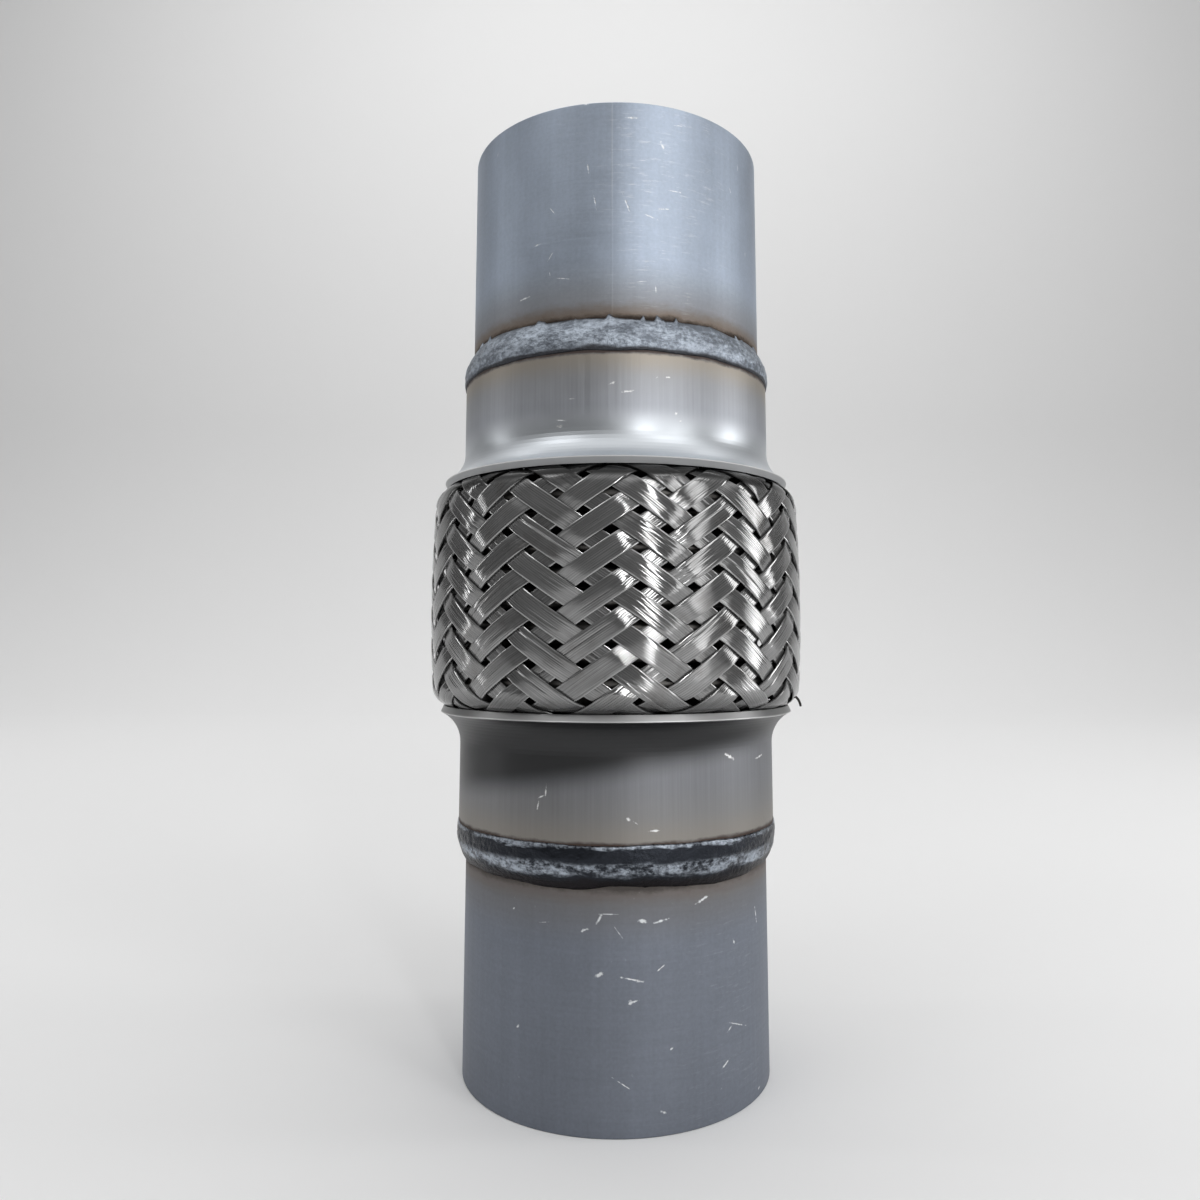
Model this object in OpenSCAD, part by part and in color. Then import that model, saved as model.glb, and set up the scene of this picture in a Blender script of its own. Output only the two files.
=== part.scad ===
// Exhaust flex pipe: two extension tubes welded into the collars of a braided bellows section.
// It stands on the end of its lower tube, with +Z up the axis and its front towards -Y.
// Sizes are millimetres. "Out" is the distance from the middle of the flexible section.

/* [Extension tubes] */
// Length over both tube ends
overall_length = 203; // [180:1:260]
// Bore of the tubes
tube_bore = 63.5; // [50:0.5:76]
// Wall of the tubes
tube_wall = 1.5; // [1.2:0.1:2]
// How far each tube reaches into its collar
tube_insertion = 14; // [11:0.5:16]
// Chamfer on the edges of each free end
end_chamfer = 0.2; // [0.1:0.05:0.4]

/* [Collars] */
// Length of the flexible section, from collar end to collar end
flex_length = 102; // [92:1:130]
// Wall of the collars
collar_wall = 1.5; // [1:0.1:2]
// Room between a tube and the collar around it
tube_room = 0.2; // [0.1:0.05:0.4]
// Length of a collar from its welded end to the outer corner of its mouth
collar_length = 25.6; // [23:0.2:28]
// Radius of the flare, on its outer face
flare_radius = 7.5; // [6:0.1:9]
// Angle that the mouth flares through
flare_angle = 65; // [55:1:70]

/* [Weld beads] */
// Width of a bead along the pipe
bead_width = 9; // [7:0.1:11]
// Part of that width that lies on the tube
bead_on_tube = 5.2; // [3:0.1:6]
// How far the bead bulges from the slope between its two toes
bead_bulge = 1; // [0.9:0.1:2.5]

/* [Outer braid] */
// How far the braid's widest point stands out from the collar
braid_rise = 6.95; // [6:0.05:8]
// Strips of wire that run each way round
strips = 24; // [16:2:24]
// Bare space between neighbouring strips
strip_gap = 1.5; // [0.6:0.1:1.6]
// Thickness of a strip
wire = 0.5; // [0.4:0.05:0.6]
// Climb from one strip to the next that runs the same way
weave_pitch = 7.25; // [6.5:0.05:8.5]
// Turn of the weave about the axis
weave_turn = -16.25; // [-30:0.25:30]
// Slope of the braid where its crown meets its shoulder
crown_angle = 3.4; // [2:0.1:5]
// Room between the braid and the collar around it
braid_room = 0.15; // [0.1:0.05:0.2]

/* [Bellows] */
// Wall of the bellows
bellows_wall = 0.4; // [0.3:0.05:0.5]
// Distance from wave to wave
wave_pitch = 5.2; // [4.6:0.1:6]
// Room between the wave crests and the braid
crest_room = 0.4; // [0.3:0.05:1]
// Space between the bellows' cuff and the tube's inner end
cuff_gap = 0.8; // [0.2:0.05:1.2]

/* [Liner] */
// Thickness of the liner's folded strip
liner_sheet = 0.35; // [0.3:0.01:0.4]
// Climb of the liner's strip in one turn
liner_pitch = 8; // [7:0.1:10]
// Space between the liner's inner and outer bands
liner_space = 0.55; // [0.45:0.01:0.7]
// How far the outer band laps over the next turn
liner_lap = 4.4; // [3:0.1:5.5]
// Space beside each fold, on which the turns slide
liner_slide = 0.3; // [0.2:0.05:0.6]
// Room between the liner and the bellows around it
liner_room = 0.1; // [0.05:0.01:0.2]

/* [Hidden] */
$fn = 96;

tube_r = tube_bore / 2;
tube_out_r = tube_r + tube_wall;
collar_in_r = tube_out_r + tube_room;
collar_out_r = collar_in_r + collar_wall;
mid_z = overall_length / 2;

// Places along the axis, measured out from the middle
free_end = overall_length / 2;
collar_end = flex_length / 2;
tube_end = collar_end - tube_insertion;
cuff_end = tube_end - cuff_gap;
flare_start = collar_end - collar_length + flare_radius * sin(flare_angle);
flare_axis_r = collar_out_r + flare_radius;
flare_steps = 10;

// The braid's middle surface: cuff, flare, shoulder and crown, each an arc that runs into the next
braid_flare = flare_radius + collar_wall + braid_room + wire;
braid_cuff_r = flare_axis_r - braid_flare;
leave_r = flare_axis_r - braid_flare * cos(flare_angle);
leave_out = flare_start - braid_flare * sin(flare_angle);
crown_r = collar_out_r + braid_rise - wire;
half_slope = tan(crown_angle / 2);
shoulder_radius = (crown_r - leave_r - leave_out * half_slope)
    / (cos(crown_angle) - cos(flare_angle) - (sin(flare_angle) - sin(crown_angle)) * half_slope);
crown_out = leave_out - shoulder_radius * (sin(flare_angle) - sin(crown_angle));
crown_radius = crown_out / sin(crown_angle);
shoulder_axis_r = leave_r - shoulder_radius * cos(flare_angle);
shoulder_axis_out = leave_out - shoulder_radius * sin(flare_angle);

// Lengths along that surface, from the middle
degree = PI / 180;
crown_end_s = crown_radius * crown_angle * degree;
mouth_s = crown_end_s + shoulder_radius * (flare_angle - crown_angle) * degree;
flare_end_s = mouth_s + braid_flare * flare_angle * degree;
braid_end_s = flare_end_s + cuff_end - flare_start;

// The weave: strips cross on a lattice whose rows are half a pitch apart
strip_turn = 360 / strips;
row_s = weave_pitch / 2;
strip_lean = atan(strip_turn * degree * crown_r / weave_pitch);
strip_share = 1 - strip_gap / (strip_turn * degree * crown_r * cos(strip_lean));
top_row = ceil(mouth_s / row_s - strip_share);
row_count = 2 * top_row + 1;
open_rows = 4;
layer_offset = [-wire, 0, wire];
BOTTOM = 0;
RIGHT = 1;
TOP = 2;
LEFT = 3;
corner_side = [[1, -1], [1, 1], [-1, 1], [-1, -1]];
INNER = 0;
LOW = 1;
HIGH = 2;

// Plain rings of the braid's pressed ends, from just past the weave to the cuff's end
weave_end_s = (top_row + strip_share) * row_s;
skirt_start_s = weave_end_s + wire;
skirt_steps = 4;
skirt_s = concat(
    [for (k = [0:skirt_steps]) skirt_start_s + (flare_end_s - skirt_start_s) * k / skirt_steps],
    [braid_end_s]
);

// The bellows' waves fill the crown of the braid
wave_radius = wave_pitch / 4;
bellows_r = tube_r + bellows_wall / 2;
waves = floor(2 * (crown_out - wave_radius - bellows_wall / 2) / wave_pitch) + 1;
last_crest_out = (waves - 1) / 2 * wave_pitch + wave_radius + bellows_wall / 2;
crown_drop = crown_radius - sqrt(crown_radius * crown_radius - last_crest_out * last_crest_out);
crest_r = crown_r - wire - crown_drop - crest_room - bellows_wall / 2;
wave_step = 22.5;

// The liner's folded strip
liner_out_r = tube_r - liner_room;
liner_in_r = liner_out_r - 2 * liner_sheet - liner_space;
liner_lip = 0.6 * liner_space;
liner_web = liner_pitch - liner_slide;
liner_tail = liner_web + liner_lap;
liner_sides = 20;
liner_steps = floor((2 * cuff_end - liner_tail) / liner_pitch * liner_sides);

// Places a piece that is drawn outwards from the middle
module upper_half() {
    translate([0, 0, mid_z]) children();
}

module lower_half() {
    translate([0, 0, mid_z]) mirror([0, 0, 1]) children();
}

// A straight tube with a chamfered free end
module extension_tube() {
    rotate_extrude() polygon([
        [tube_r, tube_end],
        [tube_out_r, tube_end],
        [tube_out_r, free_end - end_chamfer],
        [tube_out_r - end_chamfer, free_end],
        [tube_r + end_chamfer, free_end],
        [tube_r, free_end - end_chamfer]
    ]);
}

// Points of the flare at a distance from its axis, from the sleeve to the mouth
function flare_arc(radius) = [
    for (k = [0:flare_steps])
        let (turn = flare_angle * k / flare_steps)
            [flare_axis_r - radius * cos(turn), flare_start - radius * sin(turn)]
];

function reversed(list) = [for (k = [len(list) - 1:-1:0]) list[k]];

// The triangles of a face, fanned from its first corner
function fan(face) = [for (k = [1:len(face) - 2]) [face[0], face[k], face[k + 1]]];

function turned_fan(face) = [for (triangle = fan(face)) reversed(triangle)];

// A pressed sleeve whose mouth flares out around the braid
module collar() {
    rotate_extrude() polygon(concat(
        [[collar_in_r, collar_end], [collar_out_r, collar_end]],
        flare_arc(flare_radius),
        reversed(flare_arc(flare_radius + collar_wall))
    ));
}

// A fillet weld that covers the collar's end and runs onto the tube
module weld_bead() {
    tube_toe = collar_end + bead_on_tube;
    bead_steps = 12;
    rotate_extrude() polygon(concat(
        [[tube_out_r, collar_end]],
        [for (k = [0:bead_steps])
            let (u = k / bead_steps)
                [
                    tube_out_r + (collar_out_r - tube_out_r) * u + bead_bulge * sin(180 * u),
                    tube_toe - bead_width * u
                ]
        ],
        [[collar_out_r, collar_end]]
    ));
}

// One face of the bellows' wall: side is 1 for its outside and -1 for its inside
function bellows_face(side) =
    let (
        half = side * bellows_wall / 2,
        root = wave_radius - half,
        crest = wave_radius + half
    ) concat(
        [[bellows_r + half, -cuff_end]],
        [for (k = [0:waves - 1])
            let (middle = (k - (waves - 1) / 2) * wave_pitch)
                each concat(
                    [for (a = [0:wave_step:90])
                        [
                            bellows_r + wave_radius - root * cos(a),
                            middle - wave_pitch / 2 + root * sin(a)
                        ]
                    ],
                    [for (a = [0:wave_step:180])
                        [crest_r - wave_radius + crest * sin(a), middle - crest * cos(a)]
                    ],
                    [for (a = [90:-wave_step:wave_step])
                        [
                            bellows_r + wave_radius - root * cos(a),
                            middle + wave_pitch / 2 - root * sin(a)
                        ]
                    ]
                )
        ],
        [
            [bellows_r + half, waves / 2 * wave_pitch],
            [bellows_r + half, cuff_end]
        ]
    );

// A thin corrugated tube with a straight cuff at each end
module bellows() {
    color("silver") upper_half() rotate_extrude()
        polygon(concat(bellows_face(1), reversed(bellows_face(-1))));
}

// The section of the liner's strip: [climb, radius] round two bands, a web and two hooked lips
function liner_section() = [
    [0, liner_in_r],
    [liner_web, liner_in_r],
    [liner_web, liner_out_r - liner_sheet],
    [liner_tail - liner_sheet, liner_out_r - liner_sheet],
    [liner_tail - liner_sheet, liner_out_r - liner_sheet - liner_lip],
    [liner_tail, liner_out_r - liner_sheet - liner_lip],
    [liner_tail, liner_out_r],
    [liner_web - liner_sheet, liner_out_r],
    [liner_web - liner_sheet, liner_in_r + liner_sheet],
    [liner_sheet, liner_in_r + liner_sheet],
    [liner_sheet, liner_in_r + liner_sheet + liner_lip],
    [0, liner_in_r + liner_sheet + liner_lip]
];

// A folded strip wound into a hose, with each turn hooked into the next
module interlock_liner() {
    section = liner_section();
    count = len(section);
    points = [
        for (k = [0:liner_steps])
            let (turn = 360 * k / liner_sides, climb = liner_pitch * k / liner_sides - cuff_end)
                for (p = section) [p[1] * cos(turn), p[1] * sin(turn), climb + p[0]]
    ];
    walls = [
        for (k = [0:liner_steps - 1], m = [0:count - 1])
            let (n = (m + 1) % count)
                each fan([k * count + m, (k + 1) * count + m, (k + 1) * count + n, k * count + n])
    ];
    mitred_parts = [[0, 1, 8, 9], [0, 9, 10, 11], [1, 2, 7, 8], [2, 3, 6, 7], [3, 4, 5, 6]];
    first = [for (part = mitred_parts) each fan(part)];
    last = [for (part = mitred_parts) each turned_fan([for (m = part) liner_steps * count + m])];
    color("darkgray") upper_half() polyhedron(points, concat(walls, first, last), convexity = 10);
}

// The braid's middle surface at a length from the middle: [radius, out, slope]
function braid_surface(s) =
    let (u = abs(s))
        u < crown_end_s
            ? let (a = u / crown_radius / degree)
                [crown_r - crown_radius * (1 - cos(a)), crown_radius * sin(a), a]
        : u < mouth_s
            ? let (a = crown_angle + (u - crown_end_s) / shoulder_radius / degree)
                [shoulder_axis_r + shoulder_radius * cos(a), shoulder_axis_out + shoulder_radius * sin(a), a]
        : u < flare_end_s
            ? let (a = flare_angle - (u - mouth_s) / braid_flare / degree)
                [flare_axis_r - braid_flare * cos(a), flare_start - braid_flare * sin(a), a]
        : [braid_cuff_r, flare_start + u - flare_end_s, 0];

// A point of the braid, a turn round the axis, a length from the middle and a height off the surface
function braid_point(turn, s, height) =
    let (p = braid_surface(s), r = p[0] + height * cos(p[2]))
        [r * sin(turn), -r * cos(turn), sign(s) * (p[1] + height * sin(p[2]))];

// A corner of the crossing of rising strip i, in a row of the lattice
function crossing_point(i, row, corner, layer) =
    let (side = corner_side[corner] * strip_share / 2)
        braid_point(
            (2 * i + row + side[0] + side[1]) * strip_turn / 2 + weave_turn,
            (row + side[1] - side[0]) * row_s,
            layer_offset[layer]
        );

function crossing(i, row, corner, layer) =
    (((row + top_row) * strips + (i + strips) % strips) * 4 + corner) * 3 + layer;

// Over two, under two: the floats of each direction stand in columns
function rising_on_top(i, row) =
    let (column = ((2 * i + row) % 4 + 4) % 4)
        column == 1 || column == 2;

function in_weave(row) = abs(row) <= top_row;

// The top and underside of each crossing, and the strip edges that it bares
function crossing_faces(i, row) =
    let (
        rising = rising_on_top(i, row),
        bare = [
            !in_weave(row - 1) || rising,
            !in_weave(row + 1) || !rising,
            !in_weave(row + 1) || rising,
            !in_weave(row - 1) || !rising
        ]
    ) concat(
        turned_fan([for (c = [0:3]) crossing(i, row, c, HIGH)]),
        fan([for (c = [0:3]) crossing(i, row, c, INNER)]),
        [for (c = [0:3])
            if (bare[c])
                let (n = (c + 1) % 4)
                    each turned_fan([
                        crossing(i, row, c, LOW),
                        crossing(i, row, n, LOW),
                        crossing(i, row, n, HIGH),
                        crossing(i, row, c, HIGH)
                    ])
        ]
    );

// The stretch of one strip between two crossings, given as [i, row, corner, is on top]
function link_faces(corners) = concat(
    turned_fan([for (p = corners) crossing(p[0], p[1], p[2], p[3] ? HIGH : LOW)]),
    fan([for (p = corners) crossing(p[0], p[1], p[2], INNER)])
);

function rising_link(i, row) =
    let (here = rising_on_top(i, row), next = rising_on_top(i, row + 1))
        link_faces([
            [i, row, RIGHT, here],
            [i, row + 1, BOTTOM, next],
            [i, row + 1, LEFT, next],
            [i, row, TOP, here]
        ]);

function falling_link(i, row) =
    let (here = !rising_on_top(i, row), next = !rising_on_top(i - 1, row + 1))
        link_faces([
            [i, row, LEFT, here],
            [i, row, TOP, here],
            [i - 1, row + 1, RIGHT, next],
            [i - 1, row + 1, BOTTOM, next]
        ]);

// The space above a crossing, between four strips: a hole in every other row, else a hollow
function gap_faces(i, row) =
    let (
        ring = [[i, row, TOP], [i, row + 1, LEFT], [i - 1, row + 2, BOTTOM], [i - 1, row + 1, RIGHT]],
        whole = in_weave(row) && in_weave(row + 2),
        open = whole && (row + 1) % 2 == 0 && abs(row + 1) <= open_rows
    ) concat(
        [for (c = [0:3])
            let (
                p = ring[c],
                q = ring[(c + 1) % 4],
                falling = c % 2 == 1,
                p_on_top = rising_on_top(p[0], p[1]) != falling,
                q_on_top = rising_on_top(q[0], q[1]) != falling
            )
                if (in_weave(p[1]) && in_weave(q[1]))
                    each concat(
                        turned_fan(concat(
                            [crossing(q[0], q[1], q[2], LOW), crossing(p[0], p[1], p[2], LOW)],
                            p_on_top ? [crossing(p[0], p[1], p[2], HIGH)] : [],
                            q_on_top ? [crossing(q[0], q[1], q[2], HIGH)] : []
                        )),
                        open
                            ? turned_fan([
                                crossing(q[0], q[1], q[2], INNER),
                                crossing(p[0], p[1], p[2], INNER),
                                crossing(p[0], p[1], p[2], LOW),
                                crossing(q[0], q[1], q[2], LOW)
                            ])
                            : []
                    )
        ],
        whole && !open
            ? concat(
                turned_fan([for (p = ring) crossing(p[0], p[1], p[2], LOW)]),
                fan([for (p = ring) crossing(p[0], p[1], p[2], INNER)])
            )
            : []
    );

// The plain pressed end past the weave: end is 1 for the upper one and -1 for the lower
function skirt_point(end, ring, column, layer) =
    braid_point((column + end * top_row) * strip_turn / 2 + weave_turn, end * skirt_s[ring], layer_offset[layer]);

function skirt(end, ring, column, layer) =
    row_count * strips * 12
    + (((end > 0 ? 0 : 1) * len(skirt_s) + ring) * 2 * strips + (column + 2 * strips) % (2 * strips)) * 2
    + (layer == INNER ? 0 : 1);

// Turns a face that was given for the upper end to suit either end, and either side of the wall
function end_fan(end, layer, face) = (end > 0) == (layer == INNER) ? fan(face) : turned_fan(face);

function skirt_faces(end, i, layer) =
    let (
        edge = layer == INNER ? INNER : LOW,
        row = end * top_row,
        tip = crossing(i, row, end > 0 ? TOP : BOTTOM, edge),
        left = crossing(i, row, LEFT, edge),
        right = crossing(i, row, RIGHT, edge),
        valley = [for (k = [0, 1])
            end > 0 ? crossing(i + k, row - 1, TOP, edge) : crossing(i + k - 1, row + 1, BOTTOM, edge)
        ],
        start = [for (k = [-1:1]) skirt(end, 0, 2 * i + k, layer)]
    ) concat(
        end_fan(end, layer, [left, tip, start[1]]),
        end_fan(end, layer, [tip, right, start[1]]),
        end_fan(end, layer, [valley[0], left, start[1], start[0]]),
        end_fan(end, layer, [right, valley[1], start[2], start[1]]),
        [for (ring = [0:len(skirt_s) - 2], column = [2 * i, 2 * i + 1])
            each end_fan(end, layer, [
                skirt(end, ring, column, layer),
                skirt(end, ring, column + 1, layer),
                skirt(end, ring + 1, column + 1, layer),
                skirt(end, ring + 1, column, layer)
            ])
        ]
    );

function skirt_rim(end, column) =
    let (ring = len(skirt_s) - 1)
        end_fan(end, HIGH, [
            skirt(end, ring, column, HIGH),
            skirt(end, ring, column + 1, HIGH),
            skirt(end, ring, column + 1, INNER),
            skirt(end, ring, column, INNER)
        ]);

// The woven sleeve as one wall, with the strips as ridges and its pressed ends inside the collars
module outer_braid() {
    rows = [-top_row:top_row];
    turns = [0:strips - 1];
    points = concat(
        [for (row = rows, i = turns, corner = [0:3], layer = [INNER, LOW, HIGH])
            crossing_point(i, row, corner, layer)
        ],
        [for (end = [1, -1], ring = [0:len(skirt_s) - 1], column = [0:2 * strips - 1], layer = [INNER, HIGH])
            skirt_point(end, ring, column, layer)
        ]
    );
    faces = [
        for (i = turns) each concat(
            [for (row = rows) each crossing_faces(i, row)],
            [for (row = [-top_row:top_row - 1]) each concat(rising_link(i, row), falling_link(i, row))],
            [for (row = [-top_row - 1:top_row - 1]) each gap_faces(i, row)],
            [for (end = [1, -1], layer = [INNER, HIGH]) each skirt_faces(end, i, layer)],
            [for (end = [1, -1], column = [2 * i, 2 * i + 1]) each skirt_rim(end, column)]
        )
    ];
    color("dimgray") upper_half() polyhedron(points, faces, convexity = 10);
}

module lower_extension_tube() {
    color("slategray") lower_half() extension_tube();
}

module upper_extension_tube() {
    color("lightslategray") upper_half() extension_tube();
}

module lower_weld_bead() {
    color("darkslategray") lower_half() weld_bead();
}

module upper_weld_bead() {
    color("gray") upper_half() weld_bead();
}

module lower_collar() {
    color("gainsboro") lower_half() collar();
}

module upper_collar() {
    color("gainsboro") upper_half() collar();
}

lower_extension_tube();
lower_weld_bead();
lower_collar();
interlock_liner();
bellows();
outer_braid();
upper_collar();
upper_weld_bead();
upper_extension_tube();
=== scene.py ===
"""Looks of the exhaust flex pipe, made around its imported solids.

The pipe stands on its lower tube, with +Z up its axis and its front towards -Y. Lengths are
millimetres until a mesh is made. "Out" is the distance from the middle of the flexible section,
"turn" the angle about the axis from the front, growing to the right, and "height" the distance
above the floor.
"""
import math

import bpy
import numpy as np
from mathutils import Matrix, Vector


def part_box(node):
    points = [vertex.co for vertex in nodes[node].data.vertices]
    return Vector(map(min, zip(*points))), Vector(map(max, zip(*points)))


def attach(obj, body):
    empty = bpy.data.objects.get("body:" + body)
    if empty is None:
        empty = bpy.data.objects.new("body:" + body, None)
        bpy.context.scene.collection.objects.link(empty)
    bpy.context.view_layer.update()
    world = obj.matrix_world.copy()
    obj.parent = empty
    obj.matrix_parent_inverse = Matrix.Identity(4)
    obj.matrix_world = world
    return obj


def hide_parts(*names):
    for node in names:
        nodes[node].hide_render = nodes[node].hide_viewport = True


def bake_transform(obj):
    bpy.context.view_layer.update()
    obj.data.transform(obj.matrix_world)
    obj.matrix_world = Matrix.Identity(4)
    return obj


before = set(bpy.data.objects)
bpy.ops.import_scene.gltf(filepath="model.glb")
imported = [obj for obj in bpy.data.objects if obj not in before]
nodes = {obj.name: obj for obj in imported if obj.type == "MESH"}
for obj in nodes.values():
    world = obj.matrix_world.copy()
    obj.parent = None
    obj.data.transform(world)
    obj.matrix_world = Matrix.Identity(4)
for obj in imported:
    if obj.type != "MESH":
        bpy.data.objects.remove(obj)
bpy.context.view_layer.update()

MM = 0.001


def reach(node):
    """Greatest radius, lowest height and highest height of a solid."""
    low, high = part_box(node)
    return high.x / MM, low.z / MM, high.z / MM


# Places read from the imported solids
tube_r, _, overall = reach("upper_extension_tube")
braid_r, _, braid_top = reach("outer_braid")
_, upper_rim, upper_collar_end = reach("upper_collar")
_, upper_bead_low, upper_bead_high = reach("upper_weld_bead")
_, lower_bead_low, lower_bead_high = reach("lower_weld_bead")
_, _, lower_rim = reach("lower_collar")
middle = overall / 2
collar_end = upper_collar_end - middle
cuff_end = braid_top - middle

# The pressed collar, and the braid's middle surface in and beyond it. LAYER: half the braid's wall
COLLAR_WALL = 1.5
COLLAR_ROOM = 0.2
COLLAR_LENGTH = 25.6
FLARE_RADIUS = 7.5
FLARE_ANGLE = math.radians(65)
BRAID_ROOM = 0.15
LAYER = 0.5
CROWN_ANGLE = math.radians(3.4)

collar_r = tube_r + COLLAR_ROOM + COLLAR_WALL
flare_start = collar_end - COLLAR_LENGTH + FLARE_RADIUS * math.sin(FLARE_ANGLE)
flare_axis_r = collar_r + FLARE_RADIUS
braid_flare = FLARE_RADIUS + COLLAR_WALL + BRAID_ROOM + LAYER
braid_cuff_r = flare_axis_r - braid_flare
leave_r = flare_axis_r - braid_flare * math.cos(FLARE_ANGLE)
leave_out = flare_start - braid_flare * math.sin(FLARE_ANGLE)
crown_r = braid_r - LAYER
half_slope = math.tan(CROWN_ANGLE / 2)
sine_fall = math.sin(FLARE_ANGLE) - math.sin(CROWN_ANGLE)
cosine_fall = math.cos(CROWN_ANGLE) - math.cos(FLARE_ANGLE)
shoulder_rise = crown_r - leave_r - leave_out * half_slope
shoulder_radius = shoulder_rise / (cosine_fall - sine_fall * half_slope)
crown_out = leave_out - shoulder_radius * sine_fall
crown_radius = crown_out / math.sin(CROWN_ANGLE)
shoulder_axis_r = leave_r - shoulder_radius * math.cos(FLARE_ANGLE)
shoulder_axis_out = leave_out - shoulder_radius * math.sin(FLARE_ANGLE)
crown_end_s = crown_radius * CROWN_ANGLE
mouth_s = crown_end_s + shoulder_radius * (FLARE_ANGLE - CROWN_ANGLE)
flare_end_s = mouth_s + braid_flare * FLARE_ANGLE
braid_end_s = flare_end_s + cuff_end - flare_start

# The weave: strips of wires that cross on a lattice, over two and under two. Waves are in
# radians for each row of the lattice
STRIPS = 24
STRIP_GAP = 1.8
WIRES = 10
WEAVE_PITCH = 7.25
WEAVE_TURN = math.radians(-16.25)
WEAVE_LIFT = 0.42
HELD_LIFT = 0.3
WEAVE_SHARPNESS = 2.6
STRIP_CLEAR = 0.02
STRIP_HALF = 0.17
WIRE_DIP = 0.017
EDGE_FALL = 0.1
WIRE_STRAY = 0.008
STRAY_WAVE = 0.5
STRIP_ROLL = 0.022
ROLL_WAVES = (0.8, 1.9)
STRIP_SWAY = 0.16
SWAY_WAVE = 0.45
SPLIT_DEPTH = 0.13
SPLIT_RUN = 1.3
STEPS_PER_ROW = 6
MAP_STEPS = 2 * WIRES + 4

strip_turn = 2 * math.pi / STRIPS
row_s = WEAVE_PITCH / 2
strip_lean = math.atan(strip_turn * crown_r / WEAVE_PITCH)
strip_pitch = strip_turn * crown_r * math.cos(strip_lean)
strip_share = 1 - STRIP_GAP / strip_pitch

# The broken wire. Its bow: radius, turn in degrees and height above the lower collar's rim
LOOSE_WIRE_R = 0.27
LOOSE_WIRE_SIDES = 8
LOOSE_WIRE_STEPS = 8
LOOSE_WIRE_BOW = [(38.9, 75, 2.6), (41.0, 77, 2.2), (41.4, 79, -0.2)]

# The weld beads. Toes: how far the edges on the tube and on the collar draw back from the solid's
BEAD_ON_TUBE = 5.2
BEAD_BULGE = 1.0
BEAD_FULLNESS = 0.72
UPPER_TOES = (1.3, 0.4)
LOWER_TOES = (-0.6, 1.5)
BEAD_AROUND = 1080
BEAD_ACROSS = 30
TOE_SPIKES = 150
SPIKE_START = 0.35
TOE_WAVES = 30
COLLAR_TOE_WAVES = 34
COLLAR_TOE_WANDER = 0.25
TOE_POWER = 5
RELIEF_POWER = 0.5

# Relief on the beads: height, cells around and cells across
BEAD_LUMPS = (0.14, 26, 3)
BEAD_ROPES = (0.12, 60, 7)
BEAD_RIDGES = (0.07, 170, 9)
BEAD_GRAIN = (0.05, 420, 16)

# The bellows and the liner inside
BELLOWS_WALL = 0.4
WAVE_PITCH = 5.2
CREST_ROOM = 0.4
BELLOWS_AROUND = 96
ARC_STEPS = 4
LINER_SHEET = 0.35
LINER_PITCH = 8.0
LINER_SPACE = 0.55
LINER_LAP = 4.4
LINER_LIP = 0.6
LINER_SLIDE = 0.3
LINER_ROOM = 0.1
LINER_SIDES = 48
LINER_CREASE = math.radians(40)
TUBE_WALL = 1.5


def ease(share):
    """The smooth step: three times the square less twice the cube."""
    return share * share * (3 - 2 * share)


def hills(around, across, cells_around, cells_across, seed):
    """Smooth random values from -1 to 1 over a band that closes on itself around.

    The corners of a grid of cells get random values, and the smooth step joins them.
    """
    corners = np.random.default_rng(seed).uniform(-1, 1, (cells_around, cells_across + 1))
    x = (around % 1) * cells_around
    y = np.clip(across, 0, 1) * cells_across
    i = np.floor(x).astype(int)
    j = np.minimum(np.floor(y).astype(int), cells_across - 1)
    u = ease(x - i)
    v = ease(y - j)
    near = i % cells_around
    far = (i + 1) % cells_around
    low = corners[near, j] * (1 - u) + corners[far, j] * u
    high = corners[near, j + 1] * (1 - u) + corners[far, j + 1] * u
    return low * (1 - v) + high * v


def grid_faces(rows, columns, close_rows=False, close_columns=False):
    """Vertex numbers of a grid's four-cornered faces, and each corner's (row, column)."""
    row = np.arange(rows if close_rows else rows - 1)
    column = np.arange(columns if close_columns else columns - 1)
    row, column = np.meshgrid(row, column, indexing="ij")
    steps = ((0, 0), (0, 1), (1, 1), (1, 0))
    corners = [np.stack([row + r, column + c], -1) for r, c in steps]
    corners = np.stack(corners, -2).reshape(-1, 4, 2)
    numbers = (corners[..., 0] % rows) * columns + corners[..., 1] % columns
    return numbers, corners


def round_points(radius, turn, height):
    """Points at a radius, a turn from the front and a height."""
    radius, turn, height = np.broadcast_arrays(radius, turn, height)
    return np.stack([radius * np.sin(turn), -radius * np.cos(turn), height], -1)


def new_object(name, points, faces, paint):
    """A smooth mesh of points, in metres, and faces, in one paint."""
    mesh = bpy.data.meshes.new(name)
    mesh.from_pydata(points.reshape(-1, 3).tolist(), [], faces)
    mesh.shade_smooth()
    mesh.materials.append(paint.material)
    made = bpy.data.objects.new(name, mesh)
    bpy.context.scene.collection.objects.link(made)
    return made


def new_piece(name, points, faces, paint):
    """A piece of the pipe, of points in millimetres, in one paint."""
    piece = new_object(name, points * MM, faces, paint)
    return piece


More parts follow.
